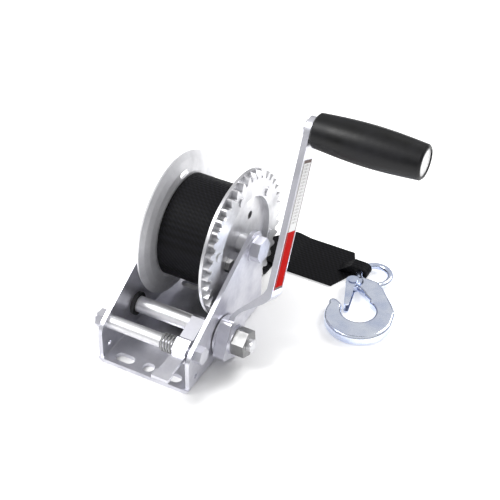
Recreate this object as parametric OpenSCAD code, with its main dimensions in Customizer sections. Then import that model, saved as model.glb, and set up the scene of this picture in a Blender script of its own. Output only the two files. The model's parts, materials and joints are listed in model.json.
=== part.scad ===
// Boat trailer winch: a hand-cranked strap winch with a stamped channel frame, one gear stage,
// a ratchet pawl, a webbing strap and a snap hook.
// X runs from the plain side to the crank side, Y from the front lip to the rear, Z up.
// The origin is the middle of the base's underside.

/* [Frame] */
// Outside width of the channel frame, mm
base_w = 84; // [82:1:90]
// Depth of the frame from front lip to rear edge, mm
base_d = 123; // [121:1:130]
// Thickness of the frame's sheet steel, mm
sheet = 3.5; // [3:0.5:4]
// Outside radius of the bends between base and side plates, mm
bend_r = 5; // [4.5:0.5:6]
// Height of the drum axle above the base's underside, mm
axle_z = 73; // [72:1:78]
// Radius of the side plates round the drum axle, mm
ear_r = 14; // [12.5:0.5:14]

/* [Gears] */
// Gear module, mm of pitch diameter for each tooth
gear_module = 3; // [3]
// Teeth on the drum gear
gear_teeth = 40; // [40]
// Teeth on the pinion
pinion_teeth = 10; // [10]
// Axial length of the gear ring, mm
ring_t = 5; // [4:0.5:5]

/* [Drum] */
// Radius of both drum flanges, mm
flange_r = 63.5; // [62.8:0.1:63.5]
// Radius of the wound strap, mm
roll_r = 42; // [30:1:43]
// Width of the webbing, mm
strap_w = 50; // [46:1:50]

/* [Crank] */
// Distance from the drive shaft to the grip's axis, mm
crank_r = 182; // [176:1:200]
// Lean of the crank arm behind the vertical at rest, degrees
crank_lean = 26; // [26:1:40]
// Length of the grip, mm
grip_len = 90; // [80:1:110]
// Largest radius of the grip, mm
grip_r = 16.5; // [15:0.5:18]

/* [Hook] */
// Thickness of the forged hook, mm
hook_t = 10; // [9:0.5:11]
// Radius of the hook's mouth, mm
mouth_r = 14.5; // [13:0.5:15]

/* [Hidden] */
$fn = 64;

// Running clearance of every shaft in its bore, and the gap left between separate bodies
run = 0.08;
gap = 0.4;

// Frame
half_w = base_w / 2;
half_d = base_d / 2;
inner_x = half_w - sheet;
axle_y = half_d - ear_r;
slope = 27;
nose_y = 2 - half_d;
nose_r = 14;
hole_y = 9 - half_d;
hole_pitch = 22;
slot_r = 4.5;
slot_len = 17;
round_hole_r = 5;

// Gears
pressure = 25;
addendum = 0.9 * gear_module;
dedendum = 1.2 * gear_module;
backlash = 0.45;
gear_pitch_r = gear_module * gear_teeth / 2;
pinion_pitch_r = gear_module * pinion_teeth / 2;
centres = gear_pitch_r + pinion_pitch_r;
shaft_z = 22;
shaft_y = axle_y - sqrt(pow(centres, 2) - pow(axle_z - shaft_z, 2));
mesh_angle = atan2(axle_z - shaft_z, axle_y - shaft_y);

// Drum, along X
disc_t = 2.5;
ring_x = 29;
disc_x = ring_x - disc_t;
flange_x = disc_x - strap_w - 2;
flange_t = 2;
flare = 6;
core_r = 17;
bore_r = 8.5;
axle_r = 6;
ring_bore_r = 41.5;
rivet_circle = 47.5;
rivets = 6;
anchor_circle = 23;
anchor_r = 3;
anchor_angle = 200;

// Drive shaft and crank, along X
shaft_r = 5.5;
bush_r = 10;
bush_flange = 2.5;
pinion_x = ring_x + gap;
hub_x = half_w + 2.4;
hub_t = 10;
hub_w = 28;
hub_h = 34;
nut_x = hub_x + hub_t + 2;
nut_t = 11;
nut_af = 21;
shaft_end = nut_x + nut_t + 4;
arm_t = 5;
arm_w = 20;
arm_out = 26;
arm_bend = 46;
grip_x = hub_x + hub_t + arm_out + 1;
spindle_r = 5;
cap_r = 11;

// Pawl
pawl_y = 16 - half_d;
pawl_z = 31;
pawl_pin_r = 4.5;
pawl_t = 12;
pawl_x = 24;
pawl_free = 18;
boss_r = 11;

// Strap and hook, on the surface that the base stands on
strap_t = 2;
wrap_r = roll_r + gap;
wrap_start = 215;
drop_bend = 14;
strap_y = 112.5;
taper_x = 83;
taper_end_x = 92;
loop_w = 11;
eye_x = 113;
eye_y = strap_y + strap_w / 2 + 1;
eye_mean_r = 13.5;
eye_wire_r = 3;
mouth_x = 121;
mouth_y = 86.5;
latch_x = 101;
latch_y = 119;

// ---- Helpers ----

// Turns a drawing in the (y, z) plane into a solid standing at [x, y, z] and running along +X
module along_x(p) translate(p) rotate([90, 0, 90]) children();

// A round bar along X from x0 to x1, on the axis through y and z
module bar(x0, x1, y, z, r) along_x([x0, y, z]) cylinder(r = r, h = x1 - x0);

// A hexagonal nut or bolt head along X; af is its width across flats
module hex(x0, t, y, z, af) along_x([x0, y, z]) cylinder(r = af / sqrt(3), h = t, $fn = 6);

function arc(cy, cz, r, a0, a1, n) =
    [for (i = [0:n]) let (a = a0 + (a1 - a0) * i / n) [cy + r * cos(a), cz + r * sin(a)]];

function involute(a) = tan(a) * 180 / PI - a;

// Half of a tooth's angle at radius r, for a gear of n teeth
function half_tooth(r, n) =
    let (pitch_r = gear_module * n / 2, a = acos(min(1, pitch_r * cos(pressure) / r)))
    90 / n - backlash / 2 / pitch_r * 180 / PI + involute(pressure) - involute(a);

function tooth_radii(n, steps = 4) =
    let (pitch_r = gear_module * n / 2, base_r = pitch_r * cos(pressure))
    let (root_r = pitch_r - dedendum, tip_r = pitch_r + addendum, r0 = max(root_r, base_r))
    concat([root_r], r0 > root_r ? [r0] : [], [for (j = [1:steps]) r0 + (tip_r - r0) * j / steps]);

function polar(r, a) = [r * cos(a), r * sin(a)];

// The outline of a gear with a tooth centred at angle first
function gear_outline(n, first) =
    let (radii = tooth_radii(n), last = len(radii) - 1)
    [for (i = [0:n - 1]) let (c = first + 360 * i / n)
        for (j = [0:2 * last + 1])
            let (r = j <= last ? radii[j] : radii[2 * last + 1 - j], s = j <= last ? -1 : 1)
                polar(r, c + s * half_tooth(r, n))];

// ---- Frame ----

// A side plate's outline: upright nose, sloping front edge, round ear at the axle, upright rear
nose_corner_z = axle_z + ear_r / cos(slope) - (axle_y - nose_y) * tan(slope);
nose_tangent = nose_r * tan((90 - slope) / 2);
module side_outline()
    polygon(concat(
        [[half_d, 0], [half_d, axle_z]],
        arc(axle_y, axle_z, ear_r, 0, 90 + slope, 24),
        arc(nose_y + nose_r, nose_corner_z - nose_tangent, nose_r, 90 + slope, 180, 8),
        [[nose_y, 0]]));

// The channel's section across X: floor, two bends and two walls
module channel_section() {
    tall = axle_z + 2 * ear_r;
    difference() {
        union() {
            translate([-half_w, bend_r]) square([base_w, tall]);
            translate([bend_r - half_w, 0]) square([base_w - 2 * bend_r, tall]);
            for (s = [-1, 1]) translate([s * (half_w - bend_r), bend_r]) circle(r = bend_r);
        }
        in_r = bend_r - sheet;
        translate([-inner_x, bend_r]) square([2 * inner_x, tall + 1]);
        translate([in_r - inner_x, sheet]) square([2 * (inner_x - in_r), tall]);
        for (s = [-1, 1]) translate([s * (half_w - bend_r), bend_r]) circle(r = in_r);
    }
}

module slot_hole(x, y) translate([x, y, -1]) linear_extrude(sheet + 2) {
    square([slot_len - 2 * slot_r, 2 * slot_r], center = true);
    for (s = [-1, 1]) translate([s * (slot_len / 2 - slot_r), 0]) circle(r = slot_r);
}

module mounting_row(y) {
    for (s = [-1, 1]) slot_hole(s * hole_pitch, y);
    translate([0, y, -1]) cylinder(r = round_hole_r, h = sheet + 2);
}

// One stamped channel; both rows of mounting holes are in its floor
module frame() color("gainsboro") difference() {
    intersection() {
        translate([0, half_d, 0]) rotate([90, 0, 0]) linear_extrude(base_d) channel_section();
        union() {
            along_x([-half_w - 1, 0, 0]) linear_extrude(base_w + 2) side_outline();
            translate([-half_w, -half_d, -1]) cube([base_w, base_d, sheet + 1]);
        }
    }
    mounting_row(hole_y);
    mounting_row(-hole_y);
    bar(-half_w - 1, half_w + 1, axle_y, axle_z, axle_r + 0.05);
    bar(-half_w - 1, half_w + 1, shaft_y, shaft_z, bush_r - 2);
    bar(-half_w - 1, half_w + 1, pawl_y, pawl_z, pawl_pin_r + 0.05);
    for (s = [-1, 1]) bar(s * half_w - 5, s * half_w + 5, pawl_y - 4, pawl_z - 20, 2.2);
}

// ---- Axle and fixed hardware ----

module axle_bolt() color("silver") {
    hex(half_w + 1.5, 7.5, axle_y, axle_z, 19);
    bar(-half_w - 14, half_w + 1.6, axle_y, axle_z, axle_r);
}

module axle_nut() color("silver") difference() {
    hex(-half_w - 11.5, 10, axle_y, axle_z, 19);
    bar(-half_w - 12, -half_w, axle_y, axle_z, axle_r + 0.05);
}

module axle_washers() color("silver") for (s = [-1, 1])
    difference() {
        bar(min(s * half_w, s * (half_w + 1.5)), max(s * half_w, s * (half_w + 1.5)), axle_y, axle_z, 12);
        bar(-half_w - 3, half_w + 3, axle_y, axle_z, axle_r + 0.05);
    }

// The spacer tube that the drum turns on; the bolt clamps it between the plates
module axle_sleeve() color("silver") difference() {
    bar(-inner_x, inner_x, axle_y, axle_z, bore_r);
    bar(-half_w, half_w, axle_y, axle_z, axle_r + 0.05);
}

// A flanged bush in each plate carries the drive shaft
module shaft_bushes() color("gray") for (s = [-1, 1]) difference() {
    union() {
        bar(min(s * inner_x, s * half_w), max(s * inner_x, s * half_w), shaft_y, shaft_z, bush_r - 2);
        bar(min(s * inner_x, s * (inner_x - bush_flange)), max(s * inner_x, s * (inner_x - bush_flange)),
            shaft_y, shaft_z, bush_r);
    }
    bar(-half_w - 3, half_w + 3, shaft_y, shaft_z, shaft_r + run);
}

module pawl_bolt() color("silver") {
    hex(half_w, 6, pawl_y, pawl_z, 13);
    bar(-half_w - 9, half_w + 0.1, pawl_y, pawl_z, pawl_pin_r);
}

module pawl_nut() color("silver") difference() {
    hex(-half_w - 7, 7, pawl_y, pawl_z, 14);
    bar(-half_w - 8, -half_w + 1, pawl_y, pawl_z, pawl_pin_r + 0.05);
}

// Spacer tube that fills the pin between the left plate and the pawl's spring
module pawl_spacer() color("whitesmoke") difference() {
    bar(-inner_x, 10, pawl_y, pawl_z, pawl_pin_r + 1.3);
    bar(-half_w, half_w, pawl_y, pawl_z, pawl_pin_r + 0.05);
}

// ---- Drum ----

module drum_holes(x0, x1) for (i = [0:rivets - 1]) let (a = 38 + 360 * i / rivets)
    bar(x0, x1, axle_y + rivet_circle * cos(a), axle_z + rivet_circle * sin(a), 2.5);

anchor_y = axle_y + anchor_circle * cos(anchor_angle);
anchor_z = axle_z + anchor_circle * sin(anchor_angle);
module anchor_hole() bar(-half_w, half_w, anchor_y, anchor_z, anchor_r + 0.05);

module drum_core() color("silver") difference() {
    bar(flange_x + flange_t, disc_x, axle_y, axle_z, core_r);
    bar(-half_w, half_w, axle_y, axle_z, bore_r + run);
}

// The plain flange: flat in the middle and flared towards the plate at its rim
module left_flange() color("whitesmoke") difference() {
    along_x([flange_x, axle_y, axle_z]) rotate_extrude($fn = 96) polygon(concat(
        [[bore_r + run, 0], [45, 0]], [[51, -1.2], [57, -3.2], [flange_r - 2, -flare]],
        [[flange_r - 1, flange_t - flare], [57.6, -1.3], [52.4, 0.8], [46.4, flange_t]],
        [[bore_r + run, flange_t]]));
    for (a = [86, 266]) along_x([flange_x - 4, axle_y, axle_z]) rotate([0, 0, a - 90])
        linear_extrude(12) {
            translate([0, 48.5]) square([8, 5], center = true);
            for (d = [-4, 4]) translate([d, 48.5]) circle(r = 2.5);
        }
    anchor_hole();
}

module right_flange() color("silver") difference() {
    bar(disc_x, ring_x, axle_y, axle_z, flange_r, $fn = 96);
    bar(-half_w, half_w, axle_y, axle_z, bore_r + run);
    bar(disc_x - 1, ring_x + 1, axle_y + 24.2 * cos(46), axle_z + 24.2 * sin(46), 3.5);
    drum_holes(disc_x - 1, ring_x + 1);
    anchor_hole();
}

// The toothed ring is riveted to the flange's outer face
module gear_ring() color("silver") difference() {
    along_x([ring_x, axle_y, axle_z]) linear_extrude(ring_t)
        polygon(gear_outline(gear_teeth, 180 + mesh_angle + 180 / gear_teeth));
    bar(ring_x - 1, ring_x + ring_t + 1, axle_y, axle_z, ring_bore_r);
    drum_holes(ring_x - 1, ring_x + ring_t + 1);
}

module gear_rivets() color("silver") for (i = [0:rivets - 1]) let (a = 38 + 360 * i / rivets)
    let (y = axle_y + rivet_circle * cos(a), z = axle_z + rivet_circle * sin(a)) {
        bar(disc_x, ring_x + ring_t + 0.1, y, z, 2.5);
        bar(ring_x + ring_t, ring_x + ring_t + 1.2, y, z, 4);
    }

// The wound webbing, layer on layer
module strap_roll() color("black") difference() {
    bar(flange_x + flange_t, disc_x, axle_y, axle_z, roll_r);
    bar(-half_w, half_w, axle_y, axle_z, core_r);
    anchor_hole();
}

// The bolt that anchors the webbing's inner end goes through both flanges
module strap_bolt() color("silver") {
    bar(flange_x - 7, ring_x, anchor_y, anchor_z, anchor_r);
    hex(ring_x, 4, anchor_y, anchor_z, 10);
}

module strap_nut() color("silver") difference() {
    hex(flange_x - 5.5, 5.5, anchor_y, anchor_z, 10);
    anchor_hole();
}

// ---- Drive shaft and crank ----

module drive_shaft() color("silver") {
    bar(-half_w - 6, shaft_end, shaft_y, shaft_z, shaft_r);
    bar(-half_w - 8.5, -half_w - 0.8, shaft_y, shaft_z, 8);
}

module pinion() color("gray") difference() {
    along_x([pinion_x, shaft_y, shaft_z]) linear_extrude(6.2)
        polygon(gear_outline(pinion_teeth, mesh_angle));
    bar(0, half_w, shaft_y, shaft_z, shaft_r);
}

// The tube between the left bush and the pinion keeps the shaft from sliding
module shaft_collar() color("silver") difference() {
    bar(bush_flange - inner_x + gap, pinion_x, shaft_y, shaft_z, shaft_r + 1.5);
    bar(-half_w, half_w, shaft_y, shaft_z, shaft_r);
}

// Everything on the arm is drawn upright and leaned back together
module leaned() translate([0, shaft_y, shaft_z]) rotate([-crank_lean, 0, 0]) children();

module crank_hub() color("silver") difference() {
    union() {
        bar(half_w + 0.8, hub_x, shaft_y, shaft_z, 17);
        leaned() translate([hub_x, 0, 0]) rotate([90, 0, 90]) linear_extrude(hub_t) {
            square([hub_w - 8, hub_h], center = true);
            square([hub_w, hub_h - 8], center = true);
            for (s = [-1, 1], t = [-1, 1])
                translate([s * (hub_w / 2 - 4), t * (hub_h / 2 - 4)]) circle(r = 4);
        }
    }
    bar(half_w, hub_x + hub_t + 1, shaft_y, shaft_z, shaft_r);
}

// A flat bar: out of the hub's top, round two bends and straight up to the grip
arm_x0 = hub_x + hub_t - arm_t;
arm_x1 = grip_x - 1;
bend_rise = arm_bend - hub_h / 2;
module crank_arm() color("silver") leaned() {
    outer = [for (i = [0:16]) let (t = i / 16, s = (1 - cos(180 * t)) / 2)
        [arm_x0 + arm_t + (arm_x1 - arm_x0 - arm_t) * s, hub_h / 2 + 2 + bend_rise * t]];
    inner = [for (i = [16:-1:0]) let (t = i / 16, s = (1 - cos(180 * t)) / 2)
        [arm_x0 + (arm_x1 - arm_t - arm_x0) * s, hub_h / 2 + 4 + bend_rise * t - 4 * (1 - s) + 4 * s]];
    difference() {
        union() {
            translate([0, arm_w / 2, 0]) rotate([90, 0, 0]) linear_extrude(arm_w)
                polygon(concat([[arm_x0 + arm_t, hub_h / 2]], outer, [[arm_x1, crank_r]],
                    [[arm_x1 - arm_t, crank_r]], inner, [[arm_x0, hub_h / 2]]));
            translate([arm_x1 - arm_t, 0, crank_r]) rotate([90, 0, 90])
                cylinder(r = arm_w / 2, h = arm_t);
        }
        translate([0, 0, crank_r]) rotate([90, 0, 90])
            cylinder(r = spindle_r, h = 2 * grip_x);
    }
}

module crank_washer() color("silver") difference() {
    bar(hub_x + hub_t, nut_x, shaft_y, shaft_z, 12.5);
    bar(hub_x, shaft_end, shaft_y, shaft_z, shaft_r);
}

module crank_nut() color("silver") difference() {
    leaned() translate([nut_x, 0, 0]) rotate([90, 0, 90])
        cylinder(r = nut_af / sqrt(3), h = nut_t, $fn = 6);
    bar(hub_x, shaft_end + 1, shaft_y, shaft_z, shaft_r);
}

// A blank sticker on the arm's outer face
module arm_label() color("white") leaned()
    translate([arm_x1, -8, arm_bend + 6]) cube([0.3, 16, crank_r - arm_bend - 30]);

module grip_spindle() color("silver") leaned() translate([0, 0, crank_r]) rotate([90, 0, 90]) {
    translate([0, 0, arm_x1 - arm_t]) cylinder(r = spindle_r, h = grip_len + arm_t - 6);
    translate([0, 0, grip_x + grip_len - 7]) cylinder(r = 7, h = 3);
}

module grip_nut() color("silver") leaned()
    translate([arm_x1 - arm_t - 2.5, 0, crank_r]) rotate([90, 0, 90]) cylinder(r = 6.5, h = 2.5);

// A barrel grip, hollow at its outer end for the spindle's head
module grip() color("black") leaned() translate([grip_x, 0, crank_r]) rotate([90, 0, 90])
    difference() {
        rotate_extrude() polygon(concat([[0, 0], [grip_r - 4, 0]],
            [for (i = [0:14]) let (t = i / 14)
                [grip_r - 2.4 + 2.4 * sin(180 * t), 1.5 + (grip_len - 3) * t]],
            [[grip_r - 4, grip_len], [0, grip_len]]));
        translate([0, 0, -1]) cylinder(r = spindle_r + run, h = grip_len + 2);
        translate([0, 0, grip_len - 7.4]) cylinder(r = cap_r, h = 8);
    }

module grip_cap() color("white") leaned() translate([grip_x + grip_len - 3, 0, crank_r])
    rotate([90, 0, 90]) cylinder(r = cap_r, h = 2);

// ---- Pawl ----

// Drawn as it engages the pinion, then turned back to its free position
module pawl_pose() translate([0, pawl_y, pawl_z]) rotate([pawl_free, 0, 0]) rotate([90, 0, 90])
    children();
nose_y2 = shaft_y - pawl_y - 8.4;
nose_z2 = shaft_z - pawl_z + 9.4;
module pawl() color("silver") difference() {
    pawl_pose() translate([0, 0, pawl_x]) linear_extrude(pawl_t) {
        rotate(12) circle(r = boss_r, $fn = 6);
        polygon([[nose_y2, nose_z2 + 0.3], [nose_y2, nose_z2 + 5], [nose_y2 - 3, nose_z2 + 7],
            [6, 7.5], [0, 0], [3, -5], [nose_y2 - 9, nose_z2 + 4.5],
            [nose_y2 - 4, nose_z2 + 0.6], [nose_y2 - 1.5, nose_z2 - 0.4]]);
    }
    bar(-half_w, half_w, pawl_y, pawl_z, pawl_pin_r + run);
}

// The lever is welded to the flat of the pawl's six-sided boss
module pawl_lever() color("silver") difference() {
    translate([0, pawl_y, pawl_z]) {
        translate([pawl_x, -36, -1.5]) cube([pawl_t, 28.3, 3]);
        translate([pawl_x - 1.5, -38, -1.5]) cube([pawl_t + 3, 8, 3]);
    }
    pawl_pose() translate([0, 0, pawl_x - 1]) rotate(12)
        cylinder(r = boss_r, h = pawl_t + 2, $fn = 6);
}

// A round wire swept through points; ref is a direction that no part of the wire runs along
function unit(v) = v / norm(v);
function wire_ring(c, t, ref, r, n) = let (u = unit(cross(ref, t)), w = cross(t, u))
    [for (k = [0:n - 1]) c + r * (cos(360 * k / n) * u + sin(360 * k / n) * w)];
module wire(points, ref, r, n = 8) {
    m = len(points) - 1;
    rings = [for (i = [0:m])
        let (t = unit(points[min(m, i + 1)] - points[max(0, i - 1)]))
            for (q = wire_ring(points[i], t, ref, r, n)) q];
    polyhedron(rings, concat(
        [[for (k = [0:n - 1]) k]], [[for (k = [n - 1:-1:0]) m * n + k]],
        [for (i = [0:m - 1], k = [0:n - 1]) let (k2 = (k + 1) % n)
            [i * n + k, (i + 1) * n + k, (i + 1) * n + k2, i * n + k2]]));
}

spring_coils = 4.5;
module pawl_spring() color("silver") translate([0, pawl_y, pawl_z])
    wire(concat([[11.2, 7, -18]], [for (i = [0:60]) let (a = 360 * spring_coils * i / 60)
        [11.2 + 11.4 * i / 60, 6.9 * cos(a), 6.9 * sin(a)]], [[22.6, -6.9, -14]]), [1, 0, 0], 0.8);

// ---- Strap ----

module free_strap() color("black") {
    bottom = drop_bend;
    outer_y = axle_y + wrap_r + strap_t;
    fold_x = disc_x - 0.5;
    side_x = fold_x - strap_w + 1;
    far_y = strap_y + strap_w;
    difference() {
        along_x([side_x, 0, 0]) linear_extrude(strap_w - 1) polygon(concat(
            arc(axle_y, axle_z, wrap_r + strap_t, wrap_start, 0, 48),
            arc(outer_y + bottom - strap_t, bottom, bottom - strap_t, 180, 270, 8),
            [[far_y, strap_t], [far_y, 0]],
            arc(outer_y + bottom - strap_t, bottom, bottom, 270, 180, 8),
            arc(axle_y, axle_z, wrap_r, 0, wrap_start, 48)));
        translate([0, 0, -1]) linear_extrude(strap_t + 2) polygon([[side_x, strap_y],
            [fold_x - 1, far_y], [fold_x - 1, far_y + 1], [side_x - 1, far_y + 1],
            [side_x - 1, strap_y]]);
    }
    translate([0, 0, strap_t]) linear_extrude(strap_t)
        polygon([[side_x, strap_y], [fold_x, strap_y], [fold_x, far_y], [fold_x - 1, far_y]]);
    translate([0, strap_y + strap_w, 0]) rotate([90, 0, 0]) linear_extrude(strap_w)
        polygon([[fold_x, strap_t], [fold_x, 2 * strap_t], [fold_x + 3, 2 * strap_t],
            [fold_x + 14, strap_t], [taper_x, strap_t], [taper_x, 0], [fold_x + 9, 0]]);
    linear_extrude(strap_t) polygon([[taper_x, strap_y], [taper_end_x, eye_y - loop_w / 2],
        [taper_end_x, eye_y + loop_w / 2], [taper_x, strap_y + strap_w]]);
    translate([0, eye_y + loop_w / 2, 0]) rotate([90, 0, 0]) linear_extrude(loop_w)
        polygon(concat([[taper_end_x - 6, 0]], arc(eye_x - 11.2, 5.8, 5.8, -90, 90, 14),
            [[taper_end_x, 11.6], [taper_end_x - 12, 2], [taper_end_x - 3, 1.6]],
            [[taper_end_x + 3, 10]], arc(eye_x - 11.2, 5.8, 4.2, 90, -90, 14),
            [[taper_end_x - 3, 1.6]]));
}

// ---- Hook, lying flat ----

// The bowl and neck seen from above, smaller all round by inset
module hook_outline(inset) difference() {
    union() {
        difference() {
            translate([mouth_x + 3, mouth_y - 6]) circle(r = 2 * mouth_r - inset, $fn = 96);
            polygon([[latch_x, latch_y + 2 * inset], [mouth_x + 4, 103 + inset], [mouth_x, mouth_y],
                [mouth_x - mouth_r, mouth_y - 1], [101, 90 - inset], [94, 91 - inset], [84, 92],
                [84, latch_y]]);
        }
        translate([97.5, 87]) circle(r = 4.2 - inset);
        polygon([[152.6 - inset, 85], [150 - inset, 98], [144 - inset, 106 - inset],
            [127, 123.5 - inset], [120, 127], [106, 127], [latch_x, latch_y + 6 - inset],
            [latch_x, latch_y + inset], [126, 103.5 + inset], [130, 88]]);
    }
    translate([mouth_x, mouth_y]) circle(r = mouth_r + inset);
}

module hook() color("silver") difference() {
    union() {
        for (k = [[0, 1.8], [0.6, 0.8], [1.6, 0]]) translate([0, 0, k[0]])
            linear_extrude(hook_t - 2 * k[0]) hook_outline(k[1]);
        translate([latch_x, latch_y, 2]) cylinder(r = 6.5, h = hook_t - 4);
        translate([eye_x, eye_y, hook_t / 2]) rotate_extrude() translate([eye_mean_r, 0])
            circle(r = eye_wire_r, $fn = 24);
    }
    for (z = [-1, hook_t - 2]) translate([latch_x, latch_y, z]) cylinder(r = 8.6, h = 3);
    translate([latch_x, latch_y, -1]) cylinder(r = 2.5, h = hook_t + 2);
    translate([eye_x, eye_y, -1]) cylinder(r = eye_mean_r - eye_wire_r, h = hook_t + 2);
}

module latch_rivet() color("silver") translate([latch_x, latch_y, 0]) {
    translate([0, 0, 0.1]) cylinder(r = 2.4, h = hook_t);
    translate([0, 0, hook_t]) cylinder(r = 4, h = 0.8);
}

// The sprung gate: two cheeks on the rivet joined by a web along the outer side
latch_len = 30.4;
latch_tilt = -75.7;
module latch() color("silver") translate([latch_x, latch_y, 0]) rotate([0, 0, latch_tilt])
    difference() {
        union() {
            for (z = [0.3, hook_t - 1.6]) translate([0, 0, z]) linear_extrude(1.3) {
                circle(r = 6);
                polygon([[0, 3], [latch_len, 2], [latch_len, -2.2], [0, -6]]);
                translate([latch_len, 0]) circle(r = 2.2);
            }
            translate([0, 0, 0.3]) linear_extrude(hook_t - 0.6)
                polygon([[10, -4.75], [10, -3.4], [latch_len, -0.8], [latch_len, -2.2]]);
        }
        translate([0, 0, -1]) cylinder(r = 2.48, h = hook_t + 2);
    }

frame();
axle_bolt();
axle_nut();
axle_washers();
axle_sleeve();
shaft_bushes();
pawl_bolt();
pawl_nut();
pawl_spacer();
free_strap();
drum_core();
left_flange();
right_flange();
gear_ring();
gear_rivets();
strap_roll();
strap_bolt();
strap_nut();
drive_shaft();
pinion();
shaft_collar();
crank_hub();
crank_arm();
crank_washer();
crank_nut();
arm_label();
grip_spindle();
grip_nut();
grip();
grip_cap();
pawl();
pawl_lever();
pawl_spring();
hook();
latch_rivet();
latch();
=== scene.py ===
# %% [markdown]
# # A boat trailer winch in a bright studio
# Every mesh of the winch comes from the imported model, already in metres and already in place.
# What is left for Blender is to frame it, to light it and to say what each piece is made of.

import json
import math

import bpy
from mathutils import Euler, Matrix, Vector


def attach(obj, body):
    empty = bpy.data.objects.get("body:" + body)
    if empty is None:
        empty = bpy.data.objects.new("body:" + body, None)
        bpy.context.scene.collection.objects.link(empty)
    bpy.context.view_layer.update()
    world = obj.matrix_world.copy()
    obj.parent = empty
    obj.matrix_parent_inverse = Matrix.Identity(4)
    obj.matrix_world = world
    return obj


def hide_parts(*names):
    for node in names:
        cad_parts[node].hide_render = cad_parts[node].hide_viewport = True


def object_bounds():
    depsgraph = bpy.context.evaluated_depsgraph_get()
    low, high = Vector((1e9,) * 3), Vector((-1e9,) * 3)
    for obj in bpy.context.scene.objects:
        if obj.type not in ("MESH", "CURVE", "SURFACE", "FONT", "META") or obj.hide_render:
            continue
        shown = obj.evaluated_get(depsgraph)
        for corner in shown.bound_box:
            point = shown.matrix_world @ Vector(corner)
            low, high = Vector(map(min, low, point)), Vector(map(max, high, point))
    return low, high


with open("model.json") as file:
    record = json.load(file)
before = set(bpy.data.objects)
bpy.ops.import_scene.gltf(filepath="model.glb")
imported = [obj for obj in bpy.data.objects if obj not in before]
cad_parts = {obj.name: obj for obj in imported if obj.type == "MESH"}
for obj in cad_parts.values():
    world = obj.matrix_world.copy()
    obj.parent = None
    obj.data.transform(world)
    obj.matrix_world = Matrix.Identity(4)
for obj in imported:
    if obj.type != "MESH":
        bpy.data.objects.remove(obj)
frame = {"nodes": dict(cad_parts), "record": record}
cad_low, cad_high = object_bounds()
nodes = frame["nodes"]
print("CAD box", cad_low, cad_high)

# %% [markdown]
# ## Framing
# A long lens flattens perspective, as a product picture usually does. The direction is worked
# out from an azimuth and an elevation, and the camera is then rolled a little about its view.

# %% Place the camera
MM = 0.001
camera_data = bpy.data.cameras.new("camera")
camera = bpy.data.objects.new("camera", camera_data)
bpy.context.collection.objects.link(camera)
SENSOR_MM, LENS_MM, SIDE_SHIFT = 36, 97.6, 0.0085
AZIMUTH, ELEVATION, ROLL = 28.25, 38.89, 0.35
STAND = Vector((441.8, -710.9, 761.9)) * MM
camera_data.sensor_width = SENSOR_MM
camera_data.lens = LENS_MM
camera_data.shift_x = SIDE_SHIFT
camera.location = STAND
turn = Euler((math.radians(90 - ELEVATION), 0, math.radians(AZIMUTH))).to_matrix()
roll = Matrix.Rotation(math.radians(ROLL), 3, "Z")
camera.rotation_euler = (turn @ roll).to_euler()
bpy.context.scene.camera = camera
print("camera at", tuple(round(v, 3) for v in camera.location))

# %% [markdown]
# ## The forging
# A forged hook has no sharp corners. A bevel needs clean edges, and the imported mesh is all
# triangles, so a copy of it is remeshed into an even skin and relaxed. That rounds every edge,
# while the flat faces stay nearly where they were.

# %% Round the hook's edges
forging = bpy.data.objects.new("forged_hook", nodes["hook"].data.copy())
bpy.context.collection.objects.link(forging)
skin = forging.modifiers.new("skin", "REMESH")
SKIN_CELL, RELAX_PASSES = 0.7 * MM, 26
skin.mode, skin.voxel_size, skin.use_smooth_shade = "VOXEL", SKIN_CELL, True
relax = forging.modifiers.new("relax", "SMOOTH")
relax.factor, relax.iterations = 0.5, RELAX_PASSES
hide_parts("hook")
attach(forging, "hook")
print("forging made from", len(forging.data.vertices), "CAD points")

# %% [markdown]
# ## The strap
# The webbing's last turn hugs the roll, drops behind the winch and lies folded on the floor. A
# curve with a flat profile could stand for it, but a sharp fold pinches such a profile, so the
# CAD solid stays on show.

STRAP_X = 1.5
AXLE_Y, AXLE_Z, WRAP = 47.5, 73.0, 43.4
WRAP_START, WRAP_PARTS = 215, 24
BEND, DROP, LAY_Y = 13, 14.0, 137.5
FLOOR_Y = AXLE_Y + WRAP + BEND
wrap_steps = [math.radians(WRAP_START * (1 - i / WRAP_PARTS)) for i in range(WRAP_PARTS + 1)]
route = [(STRAP_X, AXLE_Y + WRAP * math.cos(a), AXLE_Z + WRAP * math.sin(a)) for a in wrap_steps]
route += [(STRAP_X, AXLE_Y + WRAP, z) for z in (60, 45, 30, DROP)]
bend_steps = [math.radians(180 + 90 * i / 5) for i in range(1, 6)]
route += [(STRAP_X, FLOOR_Y + BEND * math.cos(a), DROP + BEND * math.sin(a)) for a in bend_steps]
route += [(STRAP_X, 120, 1), (STRAP_X, LAY_Y, 2)]
route += [(x, LAY_Y, z) for x, z in ((15, 3), (30, 2.4), (45, 1), (60, 1), (75, 1), (88, 1))]
route += [(96, LAY_Y + 1, 1), (106, LAY_Y + 1, 3), (107, LAY_Y + 1, 6)]
route = [Vector(p) * MM for p in route]

# %% [markdown]
# ## Writing shader maths as Python
# A small class wraps a socket. Each operator adds one Math node, so a mask reads like a formula,
# and `node` adds any other kind of node: its settings first, then its sockets.


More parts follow.
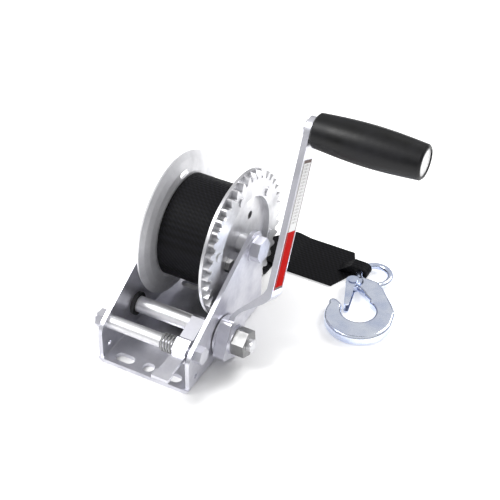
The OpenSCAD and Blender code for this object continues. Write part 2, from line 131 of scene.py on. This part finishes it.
# %% The socket wrapper
class Wire:
    """One output socket, with Python's operators."""

    def __init__(self, tree, socket):
        self.tree, self.socket = tree, socket

    def node(self, kind, settings=None, out=0, **inputs):
        new = self.tree.nodes.new(kind)
        for name, value in (settings or {}).items():
            setattr(new, name, value)
        for name, value in inputs.items():
            key = int(name[1:]) if name[1:].isdigit() else name.replace("_", " ")
            target = new.inputs[key]
            if isinstance(value, Wire):
                self.tree.links.new(value.socket, target)
            else:
                target.default_value = value
        return Wire(self.tree, new.outputs[out])

    def math(self, operation, *values):
        inputs = {f"i{n}": v for n, v in enumerate(values)}
        return self.node("ShaderNodeMath", {"operation": operation}, **inputs)

    def __add__(self, other):
        return self.math("ADD", self, other)

    def __radd__(self, other):
        return self.math("ADD", other, self)

    def __sub__(self, other):
        return self.math("SUBTRACT", self, other)

    def __rsub__(self, other):
        return self.math("SUBTRACT", other, self)

    def __mul__(self, other):
        return self.math("MULTIPLY", self, other)

    def __rmul__(self, other):
        return self.math("MULTIPLY", other, self)

    def __lt__(self, other):
        return self.math("LESS_THAN", self, other)

    def __gt__(self, other):
        return self.math("GREATER_THAN", self, other)

    def abs(self):
        return self.math("ABSOLUTE", self)

    def sin(self):
        return self.math("SINE", self)

    def steps(self, low, high, at_low=0.0, at_high=1.0):
        """Maps low..high on to at_low..at_high, and holds the ends."""
        return self.node("ShaderNodeMapRange", None, 0, Value=self, From_Min=low, From_Max=high,
                         To_Min=at_low, To_Max=at_high)

    def mix(self, first, second):
        """A colour: first where this mask is 0, second where it is 1."""
        return self.node("ShaderNodeMix", {"data_type": "RGBA"}, 2, i0=self, i6=first, i7=second)


def grey(value, blue=0.0):
    return (value, value, value + blue, 1)


print("wrapper ready; a mid grey is", grey(0.5))

# %% [markdown]
# ## Finishes
# `finish` makes a material and hands its recipe a coordinate wire, which is in metres because
# every CAD object sits at the origin. The recipe returns what feeds each of the shader's sockets.


# %% The finish maker
finishes = {}


def finish(name, recipe, roughness=0.5, metallic=0.0, shine=0.5):
    material = bpy.data.materials.new(name)
    material.use_nodes = True
    tree = material.node_tree
    shader = tree.nodes["Principled BSDF"]
    shader.inputs["Roughness"].default_value = roughness
    shader.inputs["Metallic"].default_value = metallic
    shader.inputs["Specular IOR Level"].default_value = shine
    place = Wire(tree, tree.nodes.new("ShaderNodeTexCoord").outputs["Object"])
    for socket, wire in recipe(place).items():
        tree.links.new(wire.socket, shader.inputs[socket])
    finishes[name] = material
    return material


def noise(place, scale, detail=3.0, roughness=0.5):
    return place.node("ShaderNodeTexNoise", None, 0, Vector=place, Scale=scale, Detail=detail,
                      Roughness=roughness)


def bump(height, strength, distance):
    return height.node("ShaderNodeBump", None, 0, Height=height, Strength=strength, Distance=distance)


def axes(place):
    """The x, y and z wires of a coordinate."""
    split = place.tree.nodes.new("ShaderNodeSeparateXYZ")
    place.tree.links.new(place.socket, split.inputs[0])
    return [Wire(place.tree, out) for out in split.outputs]


print("finish maker ready, with noise, bump and axes to build on")

# %% [markdown]
# ### Plated steel
# Zinc plate is bright but never even. Broad clouds change its colour and its gloss, small marks
# dull it a little more, and a very fine grain stops it from looking like a mirror. One recipe
# serves every metal, because the pieces differ in brightness and gloss more than in pattern.

# %% Metals


def zinc_recipe(bright, dark, gloss, dull, cloud_scale=55, grain_scale=900):
    def recipe(place):
        clouds = noise(place, cloud_scale, 4, 0.6).steps(0.35, 0.7)
        grain = noise(place, grain_scale, 2, 0.6)
        marks = noise(place, 260, 3, 0.7).steps(0.55, 0.75)
        return {
            "Base Color": clouds.mix(bright, dark),
            "Roughness": clouds * (dull - gloss) + gloss + marks * 0.06,
            "Normal": bump(grain, 0.12, 0.0002),
        }

    return recipe


finish("zinc", zinc_recipe(grey(0.76, 0.05), grey(0.6, 0.06), 0.3, 0.46), metallic=0.92)
finish("zinc_gear", zinc_recipe(grey(0.72, 0.02), grey(0.52, 0.02), 0.3, 0.46), metallic=0.9)
finish("zinc_bar", zinc_recipe(grey(0.8, 0.02), grey(0.66, 0.02), 0.36, 0.5), metallic=0.8)
finish("zinc_flange", zinc_recipe(grey(0.78, 0.02), grey(0.66, 0.02), 0.42, 0.56), metallic=0.75)
finish("zinc_dark", zinc_recipe(grey(0.34), grey(0.22), 0.35, 0.5), metallic=0.9)
finish("oiled_steel", zinc_recipe(grey(0.07), grey(0.04), 0.4, 0.55), metallic=0.8)
finish("forged", zinc_recipe((0.8, 0.85, 0.96, 1), (0.5, 0.57, 0.78, 1), 0.14, 0.26, 34, 240),
       metallic=0.97)
print(len(finishes), "metals")

# %% [markdown]
# ### Webbing
# Woven polyester shows ribs along its length and small floats across it. Two sine waves in
# object space make both, and a little noise keeps them from looking printed. A picture of cloth
# would need the strap unwrapped, and waves in space don't.

# %% Webbing
RIB_RATE, FLOAT_RATE = 2200, 1500  # radians of each wave in a metre


def webbing_recipe(lengthwise):
    def recipe(place):
        x, y, z = axes(place)
        across = (y if lengthwise == "x" else x) * RIB_RATE
        along = (x if lengthwise == "x" else y) * FLOAT_RATE + z * FLOAT_RATE
        weave = across.sin() * 0.5 + (along + across * 0.5).sin() * 0.5
        fuzz = noise(place, 500, 4)
        ribs = weave * 0.35 + fuzz
        return {
            "Base Color": ribs.steps(0.2, 0.9).mix(grey(0.002), (0.008, 0.008, 0.011, 1)),
            "Roughness": fuzz.steps(0.3, 0.7, 0.5, 0.75),
            "Normal": bump(ribs, 0.5, 0.0006),
        }

    return recipe


finish("webbing_loose", webbing_recipe("x"), shine=0.12)
finish("webbing_wound", webbing_recipe("y"), shine=0.12)
print("webbing woven along x and along y")

# %% [markdown]
# ### Grip, plastics and wire
# The grip is moulded black rubber, its cap is white plastic and the pawl's spring is bright wire.
# All three have a fine moulded or drawn grain and faint smears, so one recipe with its own
# colours and grain size makes each of them.

# %% Soft and plastic finishes


def grained_recipe(dark, light, scale, strength):
    def recipe(place):
        grain = noise(place, scale, 3, 0.6)
        smears = noise(place, 60, 3)
        return {
            "Base Color": smears.steps(0.35, 0.7).mix(dark, light),
            "Roughness": smears.steps(0.3, 0.7, 0.34, 0.5),
            "Normal": bump(grain, strength, 0.0002),
        }

    return recipe


finish("grip_rubber", grained_recipe(grey(0.002), (0.006, 0.006, 0.008, 1), 700, 0.25), shine=0.3)
finish("cap_white", grained_recipe(grey(0.85), grey(0.78), 500, 0.05))
finish("spring_wire", grained_recipe(grey(0.5), grey(0.36), 600, 0.05), metallic=0.95)
print("grip, cap and spring finished")

# %% [markdown]
# ### The blank sticker
# It runs up the arm's outer face. Distance along the arm and distance across it come from the
# crank's lean, so the sticker's panels follow the arm. It carries plain rows and no words.

# %% Sticker
LEAN = math.radians(26)
shaft = Vector(next(j["pos_m"] for j in frame["record"]["behaviour"]["joints"]
                    if j["name"] == "crank_turn"))
ARM_UP = (math.sin(LEAN), math.cos(LEAN))
RED_TOP, WHITE_START = 0.1, 0.106
FOOT, HEAD, EDGE, HALF_WIDTH, LINES_HALF = 0.054, 0.1555, 0.0064, 0.0074, 0.0052
DASH_RATE, ROW_RATE = 2600, 2300  # radians of each wave in a metre


def sticker_recipe(place):
    _, y, z = axes(place)
    y, z = y - shaft.y, z - shaft.z
    up = y * ARM_UP[0] + z * ARM_UP[1]
    side = (y * ARM_UP[1] - z * ARM_UP[0]).abs()
    red = up < RED_TOP
    edge = (side > EDGE) + (up < FOOT) + (up > HEAD)
    border = edge.math("MINIMUM", edge, 1.0) * (side < HALF_WIDTH)
    rows = ((side * DASH_RATE).sin() > 0.3) * ((up * ROW_RATE).sin() > -0.5)
    lines = rows * (side < LINES_HALF) * (up > WHITE_START)
    paper = red.mix(grey(0.86), (0.52, 0.006, 0.004, 1))
    ink = border.math("MAXIMUM", border, lines * 0.55)
    return {"Base Color": ink.mix(paper, (0.2, 0.16, 0.15, 1)),
            "Roughness": noise(place, 90).steps(0.3, 0.7, 0.5, 0.62)}


finish("sticker", sticker_recipe, shine=0.02)
print(len(finishes), "finishes")

# %% [markdown]
# ## Dressing the pieces
# Each node's slots are filled with one finish. Anything that isn't named takes plain zinc.

# %% Assign the finishes
wearing = {
    "zinc_flange": ["left_flange"],
    "zinc_gear": ["gear_ring", "right_flange", "gear_rivets", "pinion"],
    "zinc_bar": ["pawl_spacer", "shaft_collar", "drive_shaft", "axle_sleeve"],
    "zinc_dark": ["crank_nut", "strap_bolt", "strap_nut"],
    "oiled_steel": ["shaft_bushes"],
    "webbing_loose": ["free_strap"],
    "webbing_wound": ["strap_roll"],
    "grip_rubber": ["grip"],
    "cap_white": ["grip_cap"],
    "spring_wire": ["pawl_spring"],
    "sticker": ["arm_label"],
    "forged": ["hook", "latch", "latch_rivet"],
}
chosen = {node: name for name, group in wearing.items() for node in group}
for node, piece in nodes.items():
    material = finishes[chosen.get(node, "zinc")]
    if not piece.material_slots:
        piece.data.materials.append(material)
    for place in piece.material_slots:
        place.material = material
forging.data.materials.clear()
forging.data.materials.append(finishes["forged"])
print(len(nodes), "nodes dressed")

# %% [markdown]
# ## Studio
# A pale floor just under the winch, a surround that is bright above and dark low down, which
# gives the metal something to reflect, and two big soft lamps. The floor glows except near the
# winch, which leaves painted shade under the winch and in its slots. The floor is part of the
# stage, so it isn't counted as a piece of the winch.

# %% Floor with painted shade, surround and lamps
FLOOR_SIZE, FLOOR_GAP = 30, 0.2 * MM
bpy.ops.mesh.primitive_plane_add(size=FLOOR_SIZE, location=(0, 0, cad_low[2] - FLOOR_GAP))
floor = bpy.context.object
floor.name = "studio_floor"


# Painted shade: the floor has no glow within 6 cm of its centre and full glow from 16 cm out, so the
# floor right under the winch and seen through its slots stays darker.
def floor_glow_and_shade_recipe(place):
    distance_from_centre = place.node("ShaderNodeVectorMath", {"operation": "LENGTH"}, 1, i0=place)
    return {
        "Base Color": noise(place, 3).mix(grey(0.93), grey(0.95)),
        "Emission Color": distance_from_centre.steps(0.06, 0.16).mix(grey(0.0), grey(1.0)),
    }


paper = finish("studio_paper", floor_glow_and_shade_recipe, roughness=0.9, shine=0.1)
paper.node_tree.nodes["Principled BSDF"].inputs["Emission Strength"].default_value = 0.4
floor.data.materials.append(paper)
world = bpy.data.worlds.new("surround")
bpy.context.scene.world = world
world.use_nodes = True
surround = world.node_tree.nodes["Background"]
direction = Wire(world.node_tree, world.node_tree.nodes.new("ShaderNodeTexCoord").outputs["Generated"])
height = axes(direction)[2]
band = height.steps(0.12, 0.5)
world.node_tree.links.new(band.mix((0.1, 0.11, 0.14, 1), (1, 1, 1, 1)).socket, surround.inputs["Color"])
surround.inputs["Strength"].default_value = 0.7


def soft_lamp(name, place, aim, size, power):
    lamp = bpy.data.lights.new(name, "AREA")
    lamp.size, lamp.energy = size, power
    holder = bpy.data.objects.new(name, lamp)
    holder.location = place
    holder.rotation_euler = (Vector(aim) - Vector(place)).to_track_quat("-Z", "Y").to_euler()
    bpy.context.collection.objects.link(holder)
    print(name, "of", power, "W")


soft_lamp("key_lamp", place=(-0.9, -0.7, 1.5), aim=(0, 0, 0.05), size=0.7, power=24)
soft_lamp("rear_lamp", place=(0.7, 1.2, 1.3), aim=(0, 0.05, 0.05), size=0.9, power=16)
bpy.context.scene.view_settings.view_transform = "Standard"
